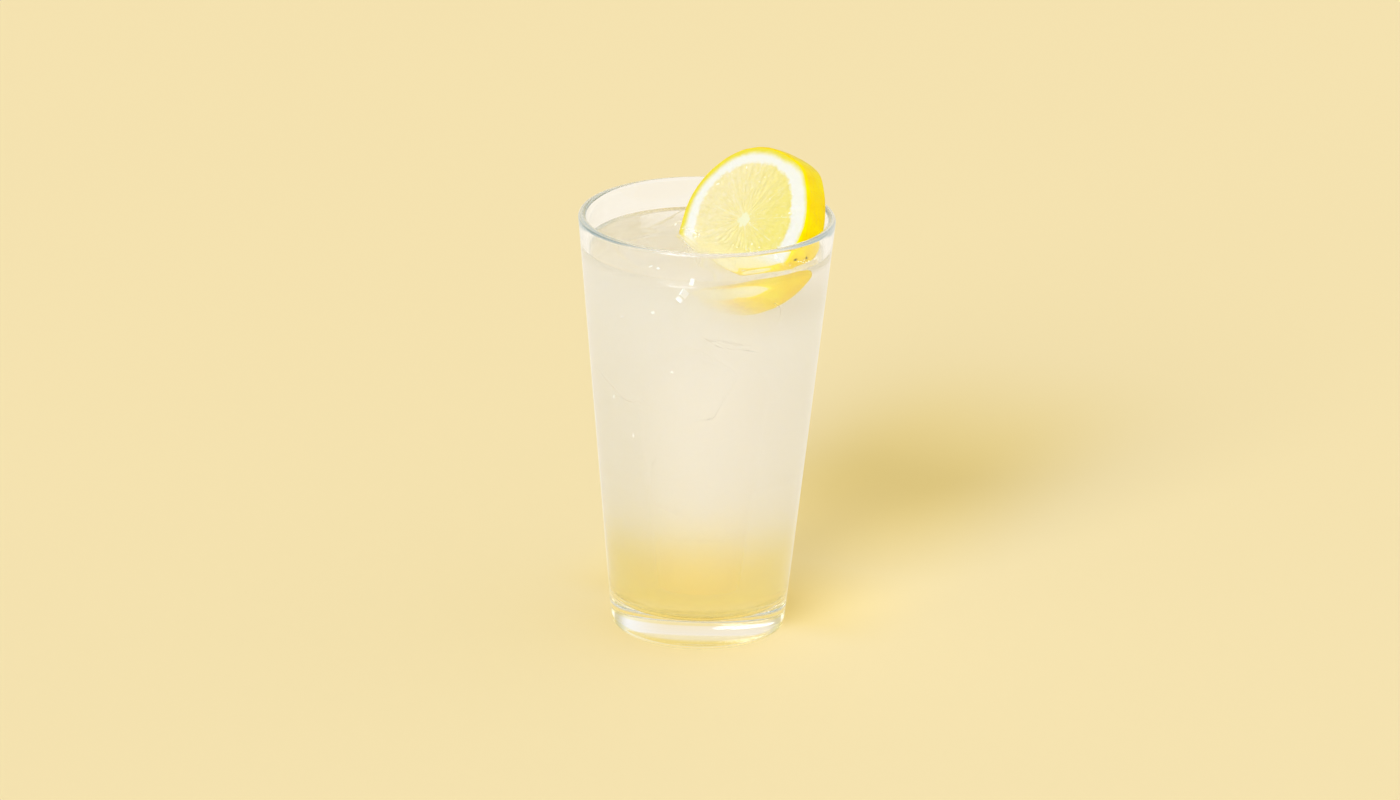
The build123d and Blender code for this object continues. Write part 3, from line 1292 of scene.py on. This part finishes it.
def flesh_colour(tree, settings, local, heading):
    """Pale juicy flesh, a little yellower to one side, with fine streaks out from the core."""
    radial = attribute(tree, "radial")
    lift = add_node(tree, "ShaderNodeCombineXYZ", {"Z": maths(tree, "MULTIPLY", radial, 0.035)}).outputs[0]
    streaks = noise_fac(tree, vector_maths(tree, "ADD", heading, lift), 16.0, detail=3.0, roughness=0.6)
    across = add_node(tree, "ShaderNodeSeparateXYZ", {0: local}).outputs["X"]
    yellower = remap(tree, across, -16 * MM, 20 * MM)
    plain = blend(tree, yellower, settings.flesh_colour, settings.flesh_far_colour)
    light = blend(
        tree,
        yellower,
        shaded(settings.flesh_colour, 1.02, 1.03, 1.25),
        shaded(settings.flesh_far_colour, 1.02, 1.03, 1.4),
    )
    dark = blend(
        tree,
        yellower,
        shaded(settings.flesh_colour, 0.99, 0.975, 0.86),
        shaded(settings.flesh_far_colour, 0.99, 0.975, 0.8),
    )
    clumps = noise_fac(tree, local, 330.0, detail=3.0, roughness=0.6)
    mixed = maths(tree, "ADD", maths(tree, "MULTIPLY", streaks, 0.55), maths(tree, "MULTIPLY", clumps, 0.45))
    lit = blend(tree, remap(tree, mixed, 0.50, 0.66), plain, light)
    return blend(tree, remap(tree, mixed, 0.50, 0.36), lit, dark)


def face_colour(tree, settings, local):
    """The cut face: flesh, faint membranes, a small broken core, pith and the rind's ring."""
    inward = attribute(tree, "inward")
    radial = attribute(tree, "radial")
    gap = attribute(tree, "membrane_gap")
    flat = vector_maths(tree, "MULTIPLY", local, (1.0, 1.0, 0.0))
    heading = vector_maths(tree, "NORMALIZE", flat)
    flesh = flesh_colour(tree, settings, local, heading)
    # Membranes fade in and out along their length.
    near_pith = remap(tree, inward, 4.6, 7.6, 0.5, 0.0)
    width = maths(tree, "ADD", near_pith, 0.24)
    line = remap(tree, maths(tree, "DIVIDE", gap, width), 0.4, 1.3, 1.0, 0.0)
    broken = remap(tree, noise_fac(tree, local, 210.0, detail=2.0), 0.42, 0.66, 0.06, 0.50)
    pith = settings.pith_colour
    # Painted glints: small pale spots on the flesh stand in for highlights on the juice.
    painted_glints = noise_fac(tree, local, 480.0, detail=1.0)
    flesh = blend(tree, remap(tree, painted_glints, 0.70, 0.78, 0.0, 0.7), flesh, (0.98, 0.97, 0.88))
    lined = blend(tree, maths(tree, "MULTIPLY", line, broken), flesh, shaded(pith, 1.0, 0.99, 0.86))
    # Core: a small ragged patch, a little drawn out along the membranes.
    ragged = noise_fac(tree, local, 520.0, detail=4.0, roughness=0.65)
    reach = maths(tree, "ADD", radial, remap(tree, gap, 0.0, 1.4, 0.0, 0.35))
    reach = maths(tree, "ADD", reach, remap(tree, ragged, 0.3, 0.7, -1.1, 1.1, smooth=False))
    cored = blend(tree, remap(tree, reach, 2.1, 2.9, 0.95, 0.0), lined, settings.core_colour)
    # Pith: its inner edge is soft and notched where the membranes meet it.
    uneven = noise_fac(tree, heading, 1.5, detail=4.0, roughness=0.55)
    notch = remap(tree, gap, 0.0, 0.8, -0.45, 0.0)
    depth = maths(tree, "ADD", inward, remap(tree, uneven, 0.3, 0.7, -0.8, 0.8, smooth=False))
    depth = maths(tree, "ADD", depth, notch)
    fibre = noise_fac(tree, local, 700.0, detail=3.0)
    depth = maths(tree, "ADD", depth, remap(tree, fibre, 0.3, 0.7, -0.35, 0.35, smooth=False))
    # The pith is wider on the side away from the flesh's paler half.
    across = add_node(tree, "ShaderNodeSeparateXYZ", {0: local}).outputs["X"]
    depth = maths(tree, "SUBTRACT", depth, remap(tree, across, 2 * MM, 24 * MM, 0.0, 1.6))
    pith_edge = (settings.rind + settings.pith) / MM
    pithed = blend(tree, remap(tree, depth, pith_edge - 0.85, pith_edge + 0.8, 1.0, 0.0), cored, pith)
    # Rind: it fades into the pith and ends in a thin greener line.
    ring = maths(
        tree, "ADD", inward, remap(tree, noise_fac(tree, local, 260.0), 0.3, 0.7, -0.3, 0.3, smooth=False)
    )
    ring = maths(tree, "ADD", ring, remap(tree, across, 2 * MM, 24 * MM, 0.0, 1.3))
    ring_edge = settings.rind / MM
    ringed = blend(
        tree,
        remap(tree, ring, ring_edge - 1.8, ring_edge + 0.6, 1.0, 0.0),
        pithed,
        settings.rind_face_colour,
    )
    lined = blend(tree, remap(tree, ring, 0.0, 0.9, 0.75, 0.0), ringed, settings.rind_line_colour)
    soaked = remap(tree, height_node(tree), DRINK_LEVEL - 7 * MM, DRINK_LEVEL - 1 * MM, 0.85, 0.0)
    return blend(tree, soaked, lined, settings.soaked_colour)


def rind_colour(tree, settings, local, pores):
    """The rind's outside: bright lemon yellow with pores, cloudy tones and two brown scars."""
    rind = settings.rind_colour
    cloudiness = noise_fac(tree, local, 120.0, detail=3.0)
    deep = shaded(rind, 0.97, 0.88, 1.0)
    light = tuple(min(1.0, c + rise) for c, rise in zip(rind, (0.02, 0.08, 0.0)))
    outside = ramp(tree, cloudiness, ((0.32, deep), (0.55, tuple(rind)), (0.72, light)))
    outside = blend(tree, remap(tree, pores, 0.10, 0.38, 0.35, 0.0), outside, shaded(rind, 0.92, 0.80, 0.7))
    for angle, depth, size in RIND_SCARS:
        turn = math.radians(angle)
        radius = rind_radius(depth * MM) * outline_share(turn)
        spot = (radius * math.cos(turn), radius * math.sin(turn), -depth * MM)
        gap = add_node(
            tree, "ShaderNodeVectorMath", {0: local, 1: spot}, operation="DISTANCE"
        ).outputs["Value"]
        edge = noise_fac(tree, local, 1500.0, detail=2.0)
        gap = maths(tree, "ADD", gap, remap(tree, edge, 0.3, 0.7, -0.3 * MM, 0.3 * MM, smooth=False))
        mark = remap(tree, gap, size * 0.35 * MM, size * MM, 0.9, 0.0)
        outside = blend(tree, mark, outside, settings.scar_colour)
    return outside


def slice_material(settings):
    """Lemon: pored yellow rind, white pith, pale juicy flesh between faint membranes, white core."""
    material, tree, output = new_material("lemon_round")
    local = slice_place(tree)
    pores = add_node(tree, "ShaderNodeTexVoronoi", {"Vector": local, "Scale": 780.0, "Randomness": 1.0})
    outside = rind_colour(tree, settings, local, pores.outputs["Distance"])
    on_face = remap(tree, attribute(tree, "inward"), -0.6, -0.2, 0.0, 1.0)
    base = blend(tree, on_face, outside, face_colour(tree, settings, local))
    pore_bump = add_node(
        tree, "ShaderNodeBump", {"Height": pores.outputs["Distance"], "Strength": 0.6, "Distance": 0.0002}
    )
    fine = noise_fac(tree, local, 900.0, detail=3.0)
    grain = add_node(
        tree,
        "ShaderNodeBump",
        {"Height": fine, "Strength": 0.25, "Distance": 0.00015, "Normal": pore_bump.outputs[0]},
    )
    lemon = add_node(
        tree,
        "ShaderNodeBsdfPrincipled",
        {
            "Base Color": base,
            "Roughness": remap(tree, on_face, 0.0, 1.0, 0.42, 0.28),
            "Specular IOR Level": 0.22,
            "Specular Tint": blend(tree, on_face, settings.rind_colour, (1.0, 1.0, 0.95)),
            "Subsurface Weight": 0.12,
            "Subsurface Radius": (1.0, 0.8, 0.2),
            "Subsurface Scale": 0.0015,
            "Normal": grain.outputs[0],
        },
    )
    tree.links.new(lemon.outputs[0], output.inputs["Surface"])
    return material


class LEMONADE_OT_slice(bpy.types.Operator):
    """Lean the round of lemon on the rim"""

    bl_idname = "lemonade.slice"
    bl_label = "Slice of lemon"

    def execute(self, context):
        settings = context.scene.lemonade_slice
        rings, poles, inward, radial, gaps = slice_rings(settings)
        points, faces = closed_rings(rings, *poles)
        matrix = np.array(SLICE_FRAME)
        points = points @ matrix[:3, :3].T + matrix[:3, 3]
        lemon = make_object("lemon_round", points, faces, slice_material(settings))
        set_attribute(lemon, "inward", inward)
        set_attribute(lemon, "radial", radial)
        set_attribute(lemon, "membrane_gap", gaps)
        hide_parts("lemon_slice")
        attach(lemon, "root")
        return {"FINISHED"}


# ---------------------------------------------------------------------------
# Stage
# ---------------------------------------------------------------------------

FILL_LEFT = (0.385, 0.340, 0.14)
FILL_RIGHT = (0.999, 1.0, 1.06)
KEY_COLOUR = (0.82, 0.89, 1.11)
KEY_STRENGTH = 2.25
KEY_HEIGHT = math.radians(32)
KEY_HEADING = math.radians(-26)
KEY_SPREAD = math.radians(34)
STUDIO_PALE = (0.93, 0.86, 0.74)
STUDIO_COOL = (0.97, 1.0, 1.05)
STUDIO_DIM_HIGH = (0.45, 0.60, 0.68)
STUDIO_DIM_LOW = (0.57, 0.53, 0.34)
STUDIO_STRIP = (1.5, 1.5, 1.45)
SOFTBOX_GLOW = 3.0  # how bright the lamp's soft front looks in glass
SOFTBOX_HALF_ANGLE = math.radians(15)


def key_direction():
    """From the glass to the key light."""
    across, level = math.sin(KEY_HEADING), -math.cos(KEY_HEADING)
    flat = math.cos(KEY_HEIGHT)
    return Vector((across * flat, level * flat, math.sin(KEY_HEIGHT)))


def floor_place(tree):
    """The floor's distance from the axis, share under the glass, and places across and along the shadow."""
    place = object_place(tree)
    from_axis = add_node(tree, "ShaderNodeVectorMath", {0: place}, operation="LENGTH").outputs["Value"]
    under = remap(tree, from_axis, outer_radius(0) - 4 * MM, outer_radius(0) + 4 * MM, 1.0, 0.0)
    turned_place = add_node(
        tree,
        "ShaderNodeVectorRotate",
        {"Vector": place, "Angle": -KEY_HEADING},
        rotation_type="Z_AXIS",
    ).outputs[0]
    parts = add_node(tree, "ShaderNodeSeparateXYZ", {0: turned_place}).outputs
    return from_axis, under, parts["X"], parts["Y"]


def floor_material(shade):
    """Smooth painted studio floor, with a painted shadow tone and a painted pool of the yellow light that
    passes through the drink.
    """
    material, tree, output = new_material("studio_floor")
    place = object_place(tree)
    from_axis, under, across, along = floor_place(tree)
    patches = noise_fac(tree, place, 3.0, detail=2.0)
    tone = ramp(tree, patches, ((0.35, [0.995 * c for c in shade]), (0.65, tuple(shade))))
    # Painted shadow tone: the shadow's middle is painted yellower, and a painted pool of light brightens its
    # near part.
    sideways = remap(tree, maths(tree, "ABSOLUTE", across), 12 * MM, 75 * MM, 1.0, 0.0)
    far = maths(
        tree,
        "MULTIPLY",
        remap(tree, along, 40 * MM, 170 * MM),
        remap(tree, along, 170 * MM, 330 * MM, 1.0, 0.0),
    )
    beside = maths(
        tree, "MULTIPLY", remap(tree, along, 0.0, 20 * MM), remap(tree, along, 20 * MM, 90 * MM, 1.0, 0.0)
    )
    tint = maths(tree, "MULTIPLY", sideways, maths(tree, "MAXIMUM", far, beside))
    tinted = blend(tree, tint, tone, shaded(shade, 0.975, 0.925, 0.68))
    near = maths(
        tree,
        "MULTIPLY",
        remap(tree, along, 8 * MM, 50 * MM),
        remap(tree, along, 90 * MM, 190 * MM, 1.0, 0.0),
    )
    near = maths(tree, "MULTIPLY", near, sideways)
    floor = add_node(
        tree,
        "ShaderNodeBsdfPrincipled",
        {"Base Color": tinted, "Roughness": 1.0, "Specular IOR Level": 0.0},
    )
    # Painted light: a glow beside the glass stands in for the drink's light falling on the floor.
    painted_light_pool = add_node(
        tree,
        "ShaderNodeEmission",
        {"Color": (1.0, 0.80, 0.30), "Strength": maths(tree, "MULTIPLY", near, 0.13)},
    )
    lit = add_node(tree, "ShaderNodeAddShader", {0: floor.outputs[0], 1: painted_light_pool.outputs[0]})
    # Painted light: through glass and drink the floor glows as a paler studio floor, and right under the
    # glass it glows with the drink's yellow, in place of the light that passes through the drink.
    path = add_node(tree, "ShaderNodeLightPath").outputs
    away = remap(tree, from_axis, 36 * MM, 75 * MM)
    pale = blend(tree, away, (0.93, 0.82, 0.52), (1.0, 0.95, 0.86))
    pale = blend(tree, under, pale, (0.90, 0.70, 0.25))
    painted_glow_seen_through = add_node(tree, "ShaderNodeEmission", {"Color": pale})
    plain = maths(tree, "MAXIMUM", path["Is Camera Ray"], path["Is Diffuse Ray"])
    through = maths(tree, "MAXIMUM", path["Is Glossy Ray"], path["Is Transmission Ray"])
    through = maths(tree, "MULTIPLY", through, 0.85)
    below = maths(tree, "MULTIPLY", under, maths(tree, "SUBTRACT", 1.0, plain))
    through = maths(tree, "MAXIMUM", through, below)
    both = add_node(tree, "ShaderNodeMixShader", {0: through, 1: lit.outputs[0], 2: painted_glow_seen_through.outputs[0]})
    tree.links.new(both.outputs[0], output.inputs["Surface"])
    return material


def studio_world(shade):
    """Soft fill for lit surfaces, the floor's colour behind the object, and a pale studio for glass."""
    world = bpy.data.worlds.new("studio")
    bpy.context.scene.world = world
    world.use_nodes = True
    tree = world.node_tree
    tree.nodes.clear()
    output = tree.nodes.new("ShaderNodeOutputWorld")
    path = add_node(tree, "ShaderNodeLightPath").outputs
    direction = add_node(tree, "ShaderNodeTexCoord").outputs["Generated"]
    parts = add_node(tree, "ShaderNodeSeparateXYZ", {0: direction}).outputs
    upward = remap(tree, parts["Z"], -0.05, 0.55)
    pale = blend(tree, upward, shade, STUDIO_PALE)
    aside = maths(tree, "ABSOLUTE", parts["X"])
    dim = remap(tree, aside, 0.62, 0.82, 0.0, 0.9)
    dim_tone = blend(tree, remap(tree, parts["Z"], 0.38, 0.55), STUDIO_DIM_LOW, STUDIO_DIM_HIGH)
    strip = maths(tree, "MULTIPLY", remap(tree, aside, 0.86, 0.88), remap(tree, aside, 0.91, 0.93, 1.0, 0.0))
    dim_tone = blend(tree, strip, dim_tone, STUDIO_STRIP)
    cool = blend(tree, remap(tree, parts["X"], 0.2, 0.8), pale, STUDIO_COOL)
    studio = blend(tree, dim, cool, dim_tone)
    toward = key_direction()
    facing = add_node(
        tree, "ShaderNodeVectorMath", {0: direction, 1: toward[:]}, operation="DOT_PRODUCT"
    ).outputs["Value"]
    softbox = remap(tree, facing, math.cos(SOFTBOX_HALF_ANGLE), math.cos(SOFTBOX_HALF_ANGLE * 0.8))
    studio = blend(tree, softbox, studio, (SOFTBOX_GLOW, SOFTBOX_GLOW, SOFTBOX_GLOW))
    through = maths(tree, "MAXIMUM", path["Is Glossy Ray"], path["Is Transmission Ray"])
    side = remap(tree, parts["X"], -1.0, 1.0, smooth=False)
    fill = blend(tree, side, FILL_LEFT, FILL_RIGHT)
    lit = blend(tree, through, fill, studio)
    seen = blend(tree, path["Is Camera Ray"], lit, shade)
    background = add_node(tree, "ShaderNodeBackground", {"Color": seen, "Strength": 1.0})
    tree.links.new(background.outputs[0], output.inputs["Surface"])


def camera_turn(settings):
    """The camera's place and turn: it looks down on the glass, a touch to its upper left, rolled a little."""
    height = settings.camera_height
    target = Vector((0, 0, GLASS_HEIGHT / 2))
    back = Vector((0, -math.cos(height), math.sin(height)))
    look = (-back).to_track_quat("-Z", "Y").to_matrix()
    roll = Matrix.Rotation(math.radians(1.344), 3, "Z")
    pitch = Matrix.Rotation(math.radians(0.1512), 3, "X")
    yaw = Matrix.Rotation(math.radians(0.0187), 3, "Y")
    turn = (look @ roll @ pitch @ yaw).to_4x4()
    return Matrix.Translation(target + back * settings.camera_distance) @ turn


class LEMONADE_OT_stage(bpy.types.Operator):
    """Set up the floor, the lights and the camera"""

    bl_idname = "lemonade.stage"
    bl_label = "Stage"

    def execute(self, context):
        settings = context.scene.lemonade_stage
        scene = context.scene
        scene.view_settings.view_transform = "Standard"
        scene.cycles.transparent_max_bounces = 24
        scene.cycles.max_bounces = 40
        scene.cycles.transmission_bounces = 20
        scene.cycles.diffuse_bounces = 4
        scene.cycles.glossy_bounces = 20
        scene.cycles.volume_bounces = 32
        scene.cycles.caustics_reflective = False
        scene.cycles.caustics_refractive = False
        floor_radius = 12.0
        angles = np.arange(96) * TURN / 96
        ring = np.stack([floor_radius * np.cos(angles), floor_radius * np.sin(angles), 0 * angles], axis=1)
        points = np.concatenate([ring, [(0, 0, 0)]])
        faces = [(j, (j + 1) % 96, 96) for j in range(96)]
        floor = make_object("studio_floor", points, faces, floor_material(settings.floor_colour))
        studio_world(tuple(settings.floor_colour))
        lamp = bpy.data.lights.new("key", "SUN")
        lamp.energy = KEY_STRENGTH
        lamp.color = KEY_COLOUR
        lamp.angle = KEY_SPREAD
        key = bpy.data.objects.new("key", lamp)
        key.rotation_euler = key_direction().to_track_quat("Z", "Y").to_euler()
        scene.collection.objects.link(key)
        lens = bpy.data.cameras.new("camera")
        lens.lens = settings.camera_lens
        lens.sensor_width = 36
        camera = bpy.data.objects.new("camera", lens)
        camera.matrix_world = camera_turn(settings)
        scene.collection.objects.link(camera)
        scene.camera = camera
        return {"FINISHED"}


# ---------------------------------------------------------------------------
# Panel, registration and making
# ---------------------------------------------------------------------------

OPERATORS = (
    LEMONADE_OT_stage,
    LEMONADE_OT_glass,
    LEMONADE_OT_drink,
    LEMONADE_OT_ice,
    LEMONADE_OT_bubbles,
    LEMONADE_OT_chips,
    LEMONADE_OT_slice,
)

SETTINGS = {
    "lemonade_glass": LemonadeGlassSettings,
    "lemonade_drink": LemonadeDrinkSettings,
    "lemonade_ice": LemonadeIceSettings,
    "lemonade_grains": LemonadeGrainSettings,
    "lemonade_slice": LemonadeSliceSettings,
    "lemonade_stage": LemonadeStageSettings,
}


class LEMONADE_PT_panel(bpy.types.Panel):
    """Lists the makers of the glass of lemonade"""

    bl_idname = "LEMONADE_PT_panel"
    bl_label = "Glass of Lemonade"
    bl_space_type = "VIEW_3D"
    bl_region_type = "UI"
    bl_category = "Lemonade"

    def draw(self, context):
        for operator in OPERATORS:
            self.layout.operator(operator.bl_idname)
        for name, group in SETTINGS.items():
            box = self.layout.box()
            for key in group.__annotations__:
                box.prop(getattr(context.scene, name), key)


def register():
    for group in SETTINGS.values():
        bpy.utils.register_class(group)
    for name, group in SETTINGS.items():
        setattr(bpy.types.Scene, name, PointerProperty(type=group))
    for operator in OPERATORS:
        bpy.utils.register_class(operator)
    bpy.utils.register_class(LEMONADE_PT_panel)


def unregister():
    bpy.utils.unregister_class(LEMONADE_PT_panel)
    for operator in reversed(OPERATORS):
        bpy.utils.unregister_class(operator)
    for name, group in SETTINGS.items():
        delattr(bpy.types.Scene, name)
        bpy.utils.unregister_class(group)


def main():
    """Makes everything in order."""
    register()
    bpy.ops.lemonade.stage()
    bpy.ops.lemonade.glass()
    bpy.ops.lemonade.drink()
    bpy.ops.lemonade.ice()
    bpy.ops.lemonade.bubbles()
    bpy.ops.lemonade.chips()
    bpy.ops.lemonade.slice()


if __name__ == "__main__":
    main()
